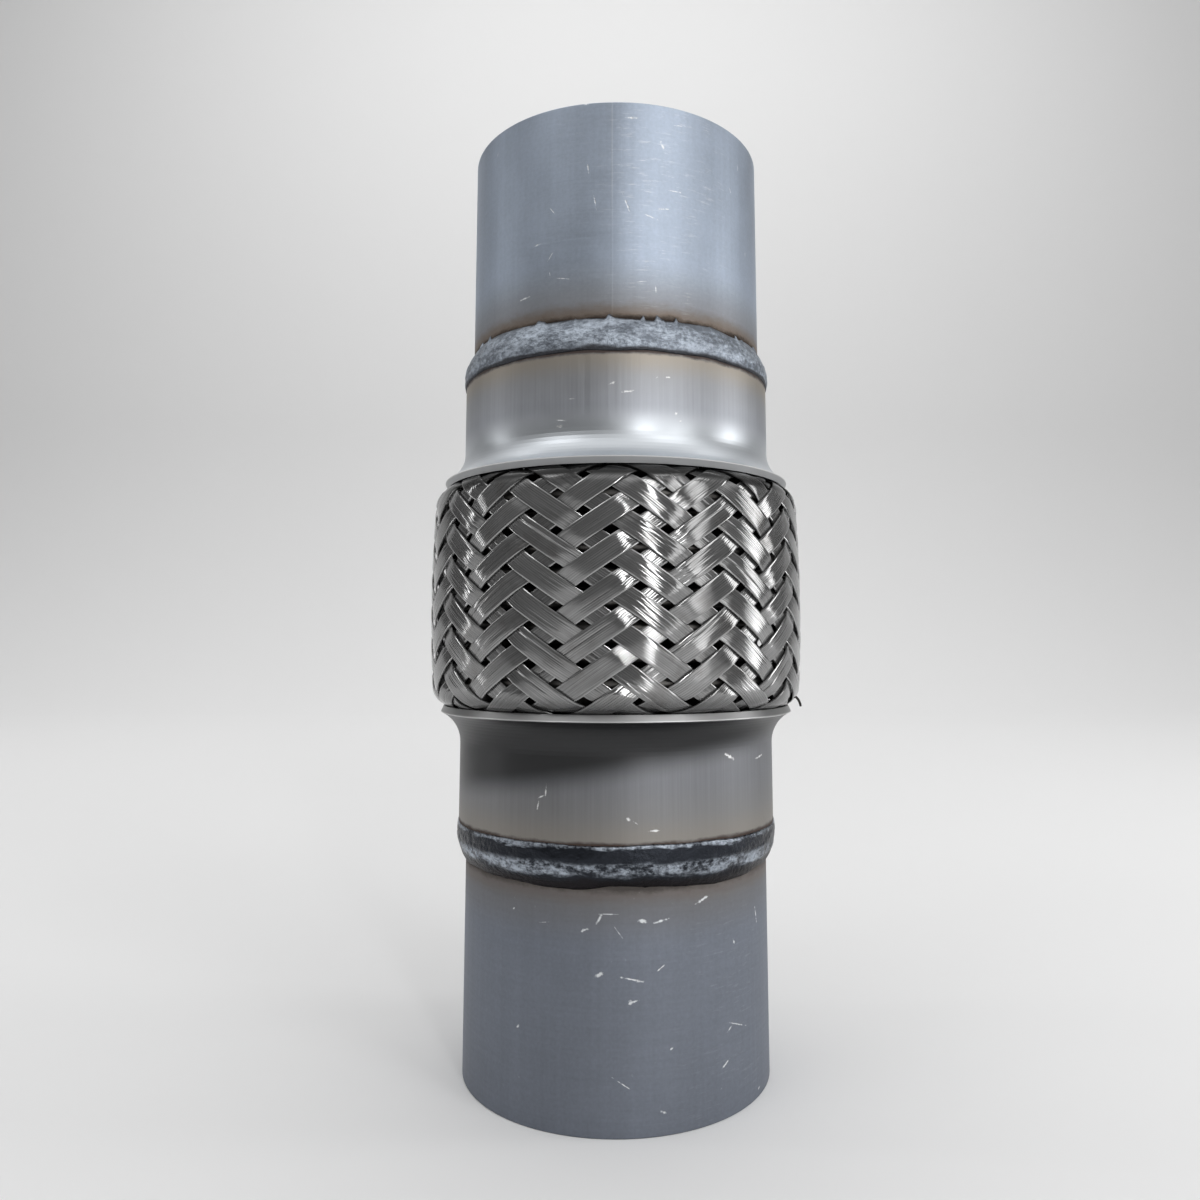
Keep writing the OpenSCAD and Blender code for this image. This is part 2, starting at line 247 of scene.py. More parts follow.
def braid_surface(length):
    """Radius, out and slope of the braid's middle surface at a length from its middle.

    Four stretches follow one another: the crown, a wide arc about a far centre; the shoulder, a
    small arc; the flare, an arc about the centre of the collar's own; and the straight cuff.
    """
    u = np.abs(length)
    crown = u / crown_radius
    shoulder = CROWN_ANGLE + (u - crown_end_s) / shoulder_radius
    flare = FLARE_ANGLE - (u - mouth_s) / braid_flare
    stretches = [u < crown_end_s, u < mouth_s, u < flare_end_s]
    radius = np.select(stretches, [
        crown_r - crown_radius * (1 - np.cos(crown)),
        shoulder_axis_r + shoulder_radius * np.cos(shoulder),
        flare_axis_r - braid_flare * np.cos(flare),
    ], braid_cuff_r)
    out = np.select(stretches, [
        crown_radius * np.sin(crown),
        shoulder_axis_out + shoulder_radius * np.sin(shoulder),
        flare_start - braid_flare * np.sin(flare),
    ], flare_start + u - flare_end_s)
    slope = np.select(stretches, [crown, shoulder, flare], 0)
    return radius, out, slope


def braid_points(turn, length, lift):
    """Points a lift off the braid's middle surface, along its outward normal."""
    radius, out, slope = braid_surface(length)
    height = middle + np.sign(length) * (out + lift * np.sin(slope))
    return round_points(radius + lift * np.cos(slope), turn, height)


def strip_section():
    """Across-shares and lifts round a strip's section, and which corners are sharp.

    Ten wires stand side by side as low arcs, each a valley, a crest and a valley, on a flat
    underside, and the outermost fall away at the strip's edges. Shares run from -1/2 to 1/2.
    """
    top = np.linspace(-0.5, 0.5, 2 * WIRES + 1)
    crest = np.arange(2 * WIRES + 1) % 2
    fall = WIRE_DIP * (1 - crest)
    fall[[0, -1]] = EDGE_FALL
    across = np.concatenate([[-0.5], top, [0.5]])
    lift = np.concatenate([[-STRIP_HALF], STRIP_HALF - fall, [-STRIP_HALF]])
    sharp = np.concatenate([[True], crest == 0, [True]])
    return across, lift, sharp


def woven_strips(name, way, paint, seed):
    """All the strips that run one way: rising strips have way 1 and falling ones way -1.

    A strip's middle line climbs one row of the lattice for half a strip's turn. Its lift is a
    flattened cosine of the crossings passed, four crossings long, so that it floats over two and
    dives under two. It floats just within the outer layer's face, and dives less where the collars
    hold it. It also sways beside its line and rolls a little about it, its wires stray a little,
    and somewhere along it two of them stand apart. The strip map runs along each strip, and
    across it counts MAP_STEPS round the section.
    """
    rng = np.random.default_rng(seed)
    across, lift, sharp = strip_section()
    columns = len(across)
    reach_rows = braid_end_s / row_s - strip_share / 2
    rows = 2 * round(reach_rows * STEPS_PER_ROW) + 1
    strip = np.arange(STRIPS)[:, None, None]
    climb = np.linspace(-reach_rows, reach_rows, rows)[None, :, None]
    side = (across * strip_share)[None, None, :]
    phase = rng.uniform(0, 2 * math.pi, (4, STRIPS, 1, 1))
    sway = STRIP_SWAY / crown_r * np.cos(SWAY_WAVE * climb + phase[3])
    turn = (2 * strip + side + way * climb) * strip_turn / 2 + WEAVE_TURN + sway
    length = (climb - way * side) * row_s
    crossing = 2 * strip + way * climb
    float_middle = 2.5 - way
    wave = np.cos((crossing - float_middle) * math.pi / 2)
    wave = np.tanh(WEAVE_SHARPNESS * wave) / math.tanh(WEAVE_SHARPNESS)
    held = ease(np.clip((np.abs(length) - crown_end_s) / (mouth_s - crown_end_s), 0, 1))
    depth = WEAVE_LIFT - (WEAVE_LIFT - HELD_LIFT) * held
    float_lift = LAYER - STRIP_HALF - STRIP_CLEAR - depth * (1 - wave)
    roll = np.cos(ROLL_WAVES[0] * climb + phase[0]) + np.cos(ROLL_WAVES[1] * climb + phase[1])
    roll = STRIP_ROLL * roll
    stray = WIRE_STRAY * rng.normal(0, 1, (STRIPS, 1, columns))
    stray = stray * np.cos(STRAY_WAVE * climb + phase[2])
    split = 1 + 2 * rng.integers(2, WIRES - 1, (STRIPS, 1, 1))
    split_at = rng.uniform(-reach_rows, reach_rows, (STRIPS, 1, 1))
    split_fade = np.exp(-((climb - split_at) / SPLIT_RUN) ** 2)
    groove = SPLIT_DEPTH * (np.arange(columns) == split) * split_fade
    total = float_lift + lift[None, None, :] + side * strip_pitch * roll + stray - groove
    points = braid_points(turn, length, np.minimum(total, LAYER))
    numbers, corners = grid_faces(rows, columns, close_columns=True)
    numbers = numbers[:, ::way]
    corners = corners[:, ::way]
    start = np.arange(STRIPS)[:, None, None] * rows * columns
    faces = (numbers[None] + start).reshape(-1, 4).tolist()
    ring = np.arange(columns)[::way]
    first = ring[None, ::-1] + start[:, 0]
    last = first[:, ::-1] + (rows - 1) * columns
    piece = new_piece(name, points, faces + first.tolist() + last.tolist(), paint)
    mark_sharp_lines(piece.data, columns, sharp)
    band = np.stack([
        np.broadcast_to(corners[None, ..., 0] / (rows - 1), (STRIPS,) + corners.shape[:2]),
        (strip + corners[None, ..., 1] / MAP_STEPS) / STRIPS,
    ], -1)
    ends = np.zeros((2 * STRIPS * columns, 2))
    layer = piece.data.uv_layers.new(name="strip")
    layer.uv.foreach_set("vector", np.concatenate([band.reshape(-1, 2), ends]).ravel())
    return piece


def mark_sharp_lines(mesh, columns, sharp):
    """Marks the edges that run along a strip's sharp columns, where two wires meet."""
    ends = np.zeros(2 * len(mesh.edges), int)
    mesh.edges.foreach_get("vertices", ends)
    column = ends.reshape(-1, 2) % columns
    along = (column[:, 0] == column[:, 1]) & sharp[column[:, 0]]
    marked = mesh.attributes.new("sharp_edge", "BOOLEAN", "EDGE")
    marked.data.foreach_set("value", along)


def weld_bead(name, end, paint, toes, wave, spike, seed):
    """A weld bead: the section of a full fillet carried round the pipe, end 1 up and -1 down.

    Across, the radius runs straight from the tube's face to the collar's, plus a bulge that is a
    half sine raised to a power, so that both toes are steep. Random hills lump the bulge, fine
    grain covers it, and the toe on the tube wanders in waves and small spikes.
    """
    around = np.arange(BEAD_AROUND)[:, None] / BEAD_AROUND
    across = np.linspace(0, 1, BEAD_ACROSS)[None, :]
    tube_toe = upper_bead_high - middle - toes[0]
    width = upper_bead_high - upper_bead_low - sum(toes)
    zero = np.zeros_like(around)
    spikes = np.maximum(hills(around, zero, TOE_SPIKES, 1, seed) - SPIKE_START, 0) ** 2
    toe_wander = wave * hills(around, zero, TOE_WAVES, 1, seed + 1) + spike * spikes
    collar_wander = COLLAR_TOE_WANDER * hills(around, zero, COLLAR_TOE_WAVES, 1, seed + 2)
    out = tube_toe - width * across + toe_wander * (1 - across) ** TOE_POWER
    out = out - collar_wander * across ** TOE_POWER
    arch = np.sin(math.pi * across)

    def relief(kind, number):
        high, cells_around, cells_across = kind
        return high * hills(around, across, cells_around, cells_across, seed + number)

    lumps = 1 + relief(BEAD_LUMPS, 3)
    ropes = relief(BEAD_ROPES, 4) + relief(BEAD_RIDGES, 5)
    rough = (ropes + relief(BEAD_GRAIN, 6)) * arch ** RELIEF_POWER
    radius = tube_r + (collar_r - tube_r) * across
    radius = radius + BEAD_BULGE * arch ** BEAD_FULLNESS * lumps + rough
    root_r = np.broadcast_to([collar_r, tube_r], (BEAD_AROUND, 2))
    root_out = np.full((BEAD_AROUND, 2), collar_end)
    radius = np.concatenate([radius, root_r], 1)
    out = np.concatenate([out, root_out], 1)
    points = round_points(radius, 2 * math.pi * around, middle + end * out)
    numbers, corners = grid_faces(BEAD_AROUND, BEAD_ACROSS + 2, True, True)
    piece = new_piece(name, points, numbers[:, ::-end].tolist(), paint)
    shares = corners[:, ::-end] / [BEAD_AROUND, BEAD_ACROSS - 1]
    layer = piece.data.uv_layers.new(name="bead")
    layer.uv.foreach_set("vector", np.minimum(shares, 1).astype(np.float32).ravel())
    return piece


def loose_wire(paint):
    """One broken wire that stands out of the braid: a round section carried along a short bow.

    The bow is a quadratic curve, from its start to its end by way of the point that it bends
    towards. The section's plane is square to the bow.
    """
    start, towards, end = [
        round_points(radius, math.radians(turn), lower_rim + rise)
        for radius, turn, rise in LOOSE_WIRE_BOW
    ]
    share = np.linspace(0, 1, LOOSE_WIRE_STEPS + 1)[:, None]
    bow = start * (1 - share) ** 2 + towards * 2 * share * (1 - share) + end * share ** 2
    along = np.gradient(bow, axis=0)
    along = along / np.linalg.norm(along, axis=1, keepdims=True)
    across = np.cross(along, (0.0, 1.0, 0.0))
    across = across / np.linalg.norm(across, axis=1, keepdims=True)
    round_it = np.arange(LOOSE_WIRE_SIDES) * 2 * math.pi / LOOSE_WIRE_SIDES
    ring = np.cos(round_it)[None, :, None] * across[:, None, :]
    ring = ring + np.sin(round_it)[None, :, None] * np.cross(along, across)[:, None, :]
    points = bow[:, None, :] + LOOSE_WIRE_R * ring
    numbers, _ = grid_faces(len(bow), LOOSE_WIRE_SIDES, close_columns=True)
    cap = np.arange(LOOSE_WIRE_SIDES)
    caps = [cap[::-1].tolist(), (cap + (len(bow) - 1) * LOOSE_WIRE_SIDES).tolist()]
    return new_piece("loose_wire_end", points, numbers.tolist() + caps, paint)


def bellows_face(side):
    """Radius and out along one face of the bellows' wall: side 1 is outside and -1 inside.

    Each wave is a quarter arc up from the root, a half arc over the crest and a quarter arc down.
    """
    half = side * BELLOWS_WALL / 2
    wave = WAVE_PITCH / 4
    root_r = tube_r - TUBE_WALL + BELLOWS_WALL / 2
    waves = math.floor(2 * (crown_out - wave - BELLOWS_WALL / 2) / WAVE_PITCH) + 1
    last_out = (waves - 1) / 2 * WAVE_PITCH + wave + BELLOWS_WALL / 2
    crown_drop = crown_radius - math.sqrt(crown_radius ** 2 - last_out ** 2)
    crest_r = crown_r - LAYER - crown_drop - CREST_ROOM - BELLOWS_WALL / 2
    rise = np.linspace(0, math.pi / 2, ARC_STEPS + 1)
    over = np.linspace(0, math.pi, 2 * ARC_STEPS + 1)
    fall = rise[::-1][:-1]
    radius = np.concatenate([
        root_r + wave - (wave - half) * np.cos(rise),
        crest_r - wave + (wave + half) * np.sin(over),
        root_r + wave - (wave - half) * np.cos(fall),
    ])
    out = np.concatenate([
        (wave - half) * np.sin(rise) - WAVE_PITCH / 2,
        -(wave + half) * np.cos(over),
        WAVE_PITCH / 2 - (wave - half) * np.sin(fall),
    ])
    centres = (np.arange(waves) - (waves - 1) / 2) * WAVE_PITCH
    radius = np.tile(radius, waves)
    out = (centres[:, None] + out[None, :]).ravel()
    ends = np.array([root_r + half, root_r + half])
    radius = np.concatenate([ends[:1], radius, ends])
    out = np.concatenate([[-cuff_end], out, [waves / 2 * WAVE_PITCH, cuff_end]])
    return radius, out


def corrugated_bellows(paint):
    """The bellows: both faces of its wall, joined at the cuffs, carried round the pipe."""
    outer_r, outer_out = bellows_face(1)
    inner_r, inner_out = bellows_face(-1)
    radius = np.concatenate([outer_r, inner_r[::-1]])[None, :]
    out = np.concatenate([outer_out, inner_out[::-1]])[None, :]
    turn = np.arange(BELLOWS_AROUND)[:, None] * 2 * math.pi / BELLOWS_AROUND
    points = round_points(radius, turn, middle + out)
    numbers, _ = grid_faces(BELLOWS_AROUND, radius.shape[1], True, True)
    piece = new_piece("bellows_waves", points, numbers[:, ::-1].tolist(), paint)
    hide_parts("bellows")
    return piece


def wound_liner(paint):
    """The liner: an S-shaped strip section carried along a helix, each turn hooked to the next."""
    outer = tube_r - TUBE_WALL - LINER_ROOM
    inner = outer - 2 * LINER_SHEET - LINER_SPACE
    lip = LINER_LIP * LINER_SPACE
    web = LINER_PITCH - LINER_SLIDE
    tail = web + LINER_LAP
    section = np.array([
        (0, inner),
        (web, inner),
        (web, outer - LINER_SHEET),
        (tail - LINER_SHEET, outer - LINER_SHEET),
        (tail - LINER_SHEET, outer - LINER_SHEET - lip),
        (tail, outer - LINER_SHEET - lip),
        (tail, outer),
        (web - LINER_SHEET, outer),
        (web - LINER_SHEET, inner + LINER_SHEET),
        (LINER_SHEET, inner + LINER_SHEET),
        (LINER_SHEET, inner + LINER_SHEET + lip),
        (0, inner + LINER_SHEET + lip),
    ])
    steps = math.floor((2 * cuff_end - tail) / LINER_PITCH * LINER_SIDES)
    step = np.arange(steps + 1)[:, None]
    climb = step * LINER_PITCH / LINER_SIDES - cuff_end
    turn = step * 2 * math.pi / LINER_SIDES
    points = round_points(section[None, :, 1], turn, middle + climb + section[None, :, 0])
    numbers, _ = grid_faces(steps + 1, len(section), close_columns=True)
    ring = np.arange(len(section))
    ends = [ring.tolist(), (ring[::-1] + steps * len(section)).tolist()]
    faces = numbers[:, ::-1].tolist() + ends
    piece = new_piece("liner_strip", points, faces, paint)
    piece.data.set_sharp_from_angle(angle=LINER_CREASE)
    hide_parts("interlock_liner")
    return piece


class Value:
    """A number that varies over a surface. Each operator adds a Math node to its graph."""

    def __init__(self, graph, socket):
        self.graph = graph
        self.socket = socket

    def math(self, operation, *others):
        values = dict(enumerate((self,) + others))
        return self.graph.node("ShaderNodeMath", {"operation": operation}, values)

    def __add__(self, other):
        return self.math("ADD", other)

    def __radd__(self, other):
        return self.math("ADD", other)

    def __sub__(self, other):
        return self.math("SUBTRACT", other)

    def __rsub__(self, other):
        return self.graph.node("ShaderNodeMath", {"operation": "SUBTRACT"}, {0: other, 1: self})

    def __mul__(self, other):
        return self.math("MULTIPLY", other)

    def __rmul__(self, other):
        return self.math("MULTIPLY", other)

    def __truediv__(self, other):
        return self.math("DIVIDE", other)

    def __pow__(self, other):
        return self.math("POWER", other)

    def __abs__(self):
        return self.math("ABSOLUTE")

    def between(self, low, high):
        """0 up to low, 1 from high on, and a smooth step from one to the other."""
        inputs = {"Value": self, "From Min": low, "From Max": high}
        return self.graph.node("ShaderNodeMapRange", {"interpolation_type": "SMOOTHSTEP"}, inputs)


class Graph:
    """A node tree, and the one way in which nodes are added to it."""

    def __init__(self, tree):
        self.tree = tree

    def node(self, kind, settings=None, inputs=None, output=0):
        """Adds a node of a kind, sets its settings and then its sockets, and gives one output."""
        made = self.tree.nodes.new(kind)
        for name, value in (settings or {}).items():
            setattr(made, name, value)
        for name, value in (inputs or {}).items():
            self.feed(made.inputs[name], value)
        return Value(self, made.outputs[output])

    def feed(self, socket, value):
        if isinstance(value, Value):
            self.tree.links.new(value.socket, socket)
        else:
            socket.default_value = value


class Paint(Graph):
    """A procedural finish: its nodes, and the places on the pipe that its patterns read."""

    def __init__(self, name):
        self.material = bpy.data.materials.new(name)
        self.material.use_nodes = True
        super().__init__(self.material.node_tree)
        self.shader = self.tree.nodes["Principled BSDF"]
        self.place = self.node("ShaderNodeTexCoord", output="Object")
        self.set("Metallic", 1.0)

    def set(self, name, value):
        self.feed(self.shader.inputs[name], value)

    def axis(self, name):
        """One coordinate of the place, in millimetres."""
        return self.node("ShaderNodeSeparateXYZ", None, {0: self.place}, name) / MM

    def turn(self):
        """Degrees round the pipe from its front, growing to the right."""
        radians = self.axis("X").math("ARCTAN2", 0 - self.axis("Y"))
        return radians * (180 / math.pi)

    def radius(self):
        """Distance from the pipe's axis, in millimetres."""
        return (self.axis("X") ** 2 + self.axis("Y") ** 2).math("SQRT")

    def unrolled(self, radius):
        """The surface of a radius laid out flat, in millimetres round it and up it."""
        round_it = self.turn() * (radius * math.pi / 180)
        return self.node("ShaderNodeCombineXYZ", None, {"X": round_it, "Y": self.axis("Z")})

    def noise(self, cells, detail=2.0, roughness=0.5, at=None):
        """Noise from 0 to 1 with so many cells to the unit along each axis of a place."""
        scaled = self.node("ShaderNodeMapping", None, {"Vector": at or self.place, "Scale": cells})
        inputs = {"Vector": scaled, "Scale": 1.0, "Detail": detail, "Roughness": roughness}
        return self.node("ShaderNodeTexNoise", None, inputs)

    def mix(self, share, first, second):
        """A colour, a share of the way from the first to the second."""
        settings = {"data_type": "RGBA"}
        return self.node("ShaderNodeMix", settings, {0: share, 6: first, 7: second}, 2)

    def bump(self, height, depth):
        """Bends the surface's normal as if it stood out by a height from 0 to 1, times a depth."""
        inputs = {"Height": height, "Distance": depth * MM, "Strength": 1.0}
        self.set("Normal", self.node("ShaderNodeBump", None, inputs))

    def scratch(self, unrolled, start, end, width):
        """0 in the middle of a long thin mark between two places, and 1 at its edge and beyond.

        The unrolled surface is turned and scaled so that the mark becomes a round spot.
        """
        run = end[0] - start[0]
        climb = end[1] - start[1]
        half = math.hypot(run, climb) / 2 + width / 2
        inputs = {
            "Vector": unrolled,
            "Location": ((start[0] + end[0]) / 2, (start[1] + end[1]) / 2, 0.0),
            "Rotation": (0.0, 0.0, math.atan2(climb, run)),
            "Scale": (half, width / 2, 1.0),
        }
        spot = self.node("ShaderNodeMapping", {"vector_type": "TEXTURE"}, inputs)
        return self.node("ShaderNodeVectorMath", {"operation": "LENGTH"}, {0: spot}, "Value")


def grey(level, warm=0.0):
    """An almost neutral colour: warm above 0 leans to straw, below 0 to blue."""
    return (level * (1 + warm), level, level * (1 - warm), 1.0)


def shades(colour, contrast):
    """A colour made darker and made lighter by a share of itself."""
    dark = tuple((1 - contrast) * part for part in colour)
    light = tuple(min((1 + contrast) * part, 1.0) for part in colour)
    return dark + (1.0,), light + (1.0,)


# Colours that heat, soot and rubbing leave on the metal, with the weld's painted shadow and the
# rim's painted edge highlight
HEAT_HAZE = (0.22, 0.2, 0.175, 1.0)
BRONZE = (0.19, 0.135, 0.09, 1.0)
SOOT = (0.035, 0.026, 0.022, 1.0)
COLLAR_HAZE = (0.28, 0.265, 0.235, 1.0)
STRAW = (0.4, 0.335, 0.24, 1.0)
SCORCH = (0.06, 0.035, 0.025, 1.0)
WELD_SHADOW = (0.022, 0.019, 0.02, 1.0)
WIRE_STAIN = (0.10, 0.09, 0.08, 1.0)
RUBBED_TUBE = grey(0.78, -0.02)
RUBBED_COLLAR = grey(0.8)
SEAM_LINE = grey(0.7, -0.03)
RIM_EDGE_HIGHLIGHT = grey(0.7)

# Tones of the braid's wires, with the painted highlight on their edges, the painted shadow under
# the upper collar and the painted shade beside the lower one
WIRE_DARK = grey(0.11)
WIRE_LIGHT = grey(0.42)
WIRE_GROOVE = grey(0.03)
WIRE_EDGE_HIGHLIGHT = grey(0.6)
WIRE_RIM_SHADOW = grey(0.012)
WIRE_LOWER_SHADE = grey(0.02)

# How far off a bead's edge each tint begins to fade and ends, and where the flare's press and
# its painted light come in
SOOT_FADE = (-0.1, 1.4)
BRONZE_FADE = (0.8, 4.2)
HAZE_FADE = (2, 11)
SOOTY_HAZE = 4
SCORCH_FADE = (0.1, 0.9)
STRAW_FADE = (0.6, 6.0)
COLLAR_HAZE_FADE = (3, 12)
FLARE_PRESS_AND_PAINT = (10.5, 16.5)

# The seam: edges of its line and of the smooth band beside it, in degrees, and where it shows
SEAM_EDGE = (0.12, 0.5)
SEAM_BAND = (1.0, 7.0)
SEAM_SHOWN = (18, 30)

# Edges: of a worn side in degrees, of soot in a tube's wall, of a rim's cut face and its painted
# highlight, of the wires' painted shadow band short of the collar's mouth, and of a scratch that
# noise breaks up
WORN_EDGE = (10, 34)
SOOT_WALL = (1.0, 0.4)
CUT_EDGE = 0.1
RIM_HIGHLIGHT_EDGE = (0.05, 0.25)
RIM_SHADOW_BAND = (3.2, 1.4)
MARK_EDGE = (0.85, 1.35)
MARK_BREAKS = 1.5

# Contrasts of the steels, the raggedness of their heat tints, and the finest grain in cells a metre
TUBE_CONTRAST = 0.22
COLLAR_CONTRAST = 0.24
TUBE_RAGGED = 2.4
COLLAR_RAGGED = 1.4
FINE_GRAIN = (1500, 1500, 1500)

# Marks rubbed into the tubes and collars: (turn, height) at both ends, and width
UPPER_TUBE_MARKS = [
    ((-8.5, 184.5), (-6.5, 178.5), 0.6),
    ((2, 183.5), (6, 177.5), 0.7),
    ((8.5, 179), (16.5, 177.5), 0.8),
    ((-32.5, 173.5), (-27, 174), 0.6),
    ((-25.5, 169.5), (-22.5, 172), 0.6),
    ((-39.5, 162.5), (-31, 163), 0.7),
    ((-10.5, 190.5), (-9.5, 187), 0.6),
    ((-25.5, 182), (-21.5, 179), 0.35),
    ((-24.5, 167.5), (-24, 166), 0.4),
    ((-23.5, 166), (-15, 165), 0.35),
    ((14, 164), (14.5, 161.5), 0.6),
    ((6, 164), (12.5, 164.5), 0.3),
    ((16, 195.5), (18, 192.5), 1.3),
    ((2, 199.5), (9, 199.5), 0.8),
    ((20, 199), (27.5, 199.5), 0.5),
    ((17, 184.5), (26.5, 184.5), 0.6),
    ((13.5, 180), (21, 180.5), 0.6),
    ((-52.5, 197.5), (-51, 199), 0.6),
    ((54.5, 197), (54, 194.5), 0.6),
    ((48, 190), (49.5, 188), 0.6),
    ((59.5, 178.5), (60, 175.5), 0.4),
    ((-12, 202.8), (-10, 202.8), 1.0),
]
LOWER_TUBE_MARKS = [
    ((-12, 36.5), (-8.5, 37.5), 0.9),
    ((-6.5, 38), (-4, 40.5), 0.9),
    ((-7.5, 40), (3, 40), 0.4),
    ((-1.5, 38.5), (3, 35), 0.35),
    ((6.5, 39), (10.5, 38.5), 1.4),
    ((10.5, 38), (19.5, 39), 0.8),
    ((26, 40.5), (34.5, 42.5), 1.1),
    ((-7, 28.5), (-4, 29.5), 1.5),
    ((-1.5, 29), (10.5, 27.5), 0.6),
    ((5.5, 28), (10.5, 27.5), 0.9),
    ((12.5, 29), (17.5, 31), 0.5),
    ((4, 24), (8.5, 24.5), 0.8),
    ((4, 24), (5, 24), 1.6),
    ((36.5, 18.5), (55, 14.5), 0.5),
    ((40, 15.5), (44, 17), 0.6),
    ((36.5, 9), (42.5, 11), 0.7),
    ((-3, 11.5), (8, 7.5), 0.4),
    ((14.5, 4.5), (16.5, 4), 1.0),
    ((17.5, 15), (19, 15.5), 0.8),
    ((58.5, 38.5), (61, 32.5), 0.7),
    ((44, 33), (45, 31.5), 0.8),
    ((-37.5, 39), (-36.5, 39.5), 0.8),
    ((-35, 17.5), (-34, 18), 0.9),
    ((-27, 37.5), (-21.5, 38), 0.35),
    ((59.5, 1.5), (61.5, 2), 0.8),
]
UPPER_COLLAR_MARKS = [
    ((-3, 142), (1, 143), 0.9),
    ((1, 140.5), (7, 141), 0.8),
    ((13, 143.5), (14, 144), 0.5),
    ((16.5, 144), (18.5, 144), 0.8),
    ((19.5, 136.5), (21, 137), 0.9),
    ((20.5, 135), (23, 135.5), 0.4),
    ((-20.5, 134), (-17.5, 134), 0.9),
    ((-21, 135.5), (-15.5, 135), 0.4),
    ((-17, 139.5), (-13, 139.5), 0.4),
]
LOWER_COLLAR_MARKS = [
    ((-26, 58.5), (-25, 61), 0.7),
    ((-26, 61), (-22.5, 62), 0.7),
    ((-23, 60.5), (-22.5, 64.5), 0.6),
    ((3, 58), (4.5, 57.5), 1.0),
    ((5, 57.5), (7.5, 56.5), 0.4),
    ((9, 55.5), (15, 55.5), 0.7),
    ((36.5, 69.5), (44, 67.5), 1.2),
    ((52.5, 67), (64, 68), 0.9),
]


def all_marks(paint, unrolled, radius, marks):
    """1 in the middle of several scratches and 0 away from them, broken up by fine noise."""
    degree = radius * math.pi / 180
    nearest = None
    for start, end, width in marks:
        first = (start[0] * degree, start[1])
        last = (end[0] * degree, end[1])
        spot = paint.scratch(unrolled, first, last, width)
        nearest = spot if nearest is None else nearest.math("MINIMUM", spot)
    broken = paint.noise(FINE_GRAIN, 2.0, 0.6)
    return 1 - (nearest + broken * MARK_BREAKS).between(*MARK_EDGE)


def tube_steel(name, colour, toe, way, marks, matt, sooty, worn, scuffed, seam=None):
    """Satin mill-finished tube: cloudy, faintly rippled, browned by the weld, scuffed, scratched.

    toe is the height of the bead's edge on the tube, way is 1 for a tube above its bead, matt is
    its roughness, sooty is how black the steel is beside the bead, and worn is the turn at which
    it is scuffed most, by scuffed. seam is the turn of a faint line up the tube, which fades out
    towards the bead.
    """
    paint = Paint(name)
    height = paint.axis("Z")
    turn = paint.turn()
    off_bead = (height - toe) * way
    cloud = paint.noise((55, 55, 40), 4.0, 0.6)
    drawn = paint.noise((700, 700, 14), 3.0, 0.6)
    ripple = paint.noise((70, 70, 1500), 2.0)
    grain = paint.noise(FINE_GRAIN, 2.0, 0.6)
    unrolled = paint.unrolled(tube_r)
    worn_side = 1.15 - abs(turn - worn).between(*WORN_EDGE)
    worn_patch = paint.noise((75, 75, 60), 3.0, 0.6).between(0.4, 0.58) * worn_side
    scuffs = paint.noise((0.22, 1.7, 1.0), 4.0, 0.7, unrolled).between(0.54, 0.7) * worn_patch
    off_weld = abs(off_bead + BEAD_ON_TUBE / 2) - BEAD_ON_TUBE / 2
    ragged = off_weld + (paint.noise((260, 260, 500), 4.0, 0.7) - 0.5) * TUBE_RAGGED
    outside = paint.radius().between(tube_r - SOOT_WALL[0], tube_r - SOOT_WALL[1])
    soot = (1 - ragged.between(*SOOT_FADE)) * outside
    bronze = 1 - ragged.between(*BRONZE_FADE)
    haze = 1 - off_weld.between(HAZE_FADE[0], HAZE_FADE[1] + SOOTY_HAZE * sooty)
    rubbed = all_marks(paint, unrolled, tube_r, marks)
    specks = paint.noise((500, 500, 420), 5.0, 0.75).between(0.66, 0.76) * cloud.between(0.48, 0.6)
    shade = (cloud - 0.5) * 0.9 + (drawn - 0.5) * 0.35 + (grain - 0.5) * 0.5 + 0.5
    body = paint.mix(shade, *shades(colour, TUBE_CONTRAST))
    body = paint.mix(haze * (0.4 + 0.25 * sooty), body, HEAT_HAZE)
    body = paint.mix(bronze * (0.25 + 0.6 * sooty), body, BRONZE)
    body = paint.mix(soot * sooty, body, SOOT)
    clear_scuffs = scuffs * (1 - haze * 0.8)
    bared = (rubbed + specks * 0.5 + clear_scuffs * scuffed).math("MINIMUM", 1.0)
    body = paint.mix(bared, body, RUBBED_TUBE)
    roughness = matt + (cloud - 0.5) * 0.16 + (ripple - 0.5) * 0.12 + soot * 0.25 + haze * 0.06
    relief = ripple * 0.35 + drawn * 0.3 - rubbed * 0.8 - scuffs * 0.6 * scuffed
    if seam is not None:
        beside = abs(turn - seam)
        line = 1 - beside.between(*SEAM_EDGE)
        band = 1 - beside.between(*SEAM_BAND)
        shown = 0.2 + 0.8 * off_bead.between(*SEAM_SHOWN)
        body = paint.mix(line * shown * 0.2, body, SEAM_LINE)
        roughness = roughness - band * 0.04
        relief = relief + line * 0.15
    paint.set("Base Color", body)
    paint.set("Roughness", roughness)
    paint.bump(relief, depth=0.05)
    return paint


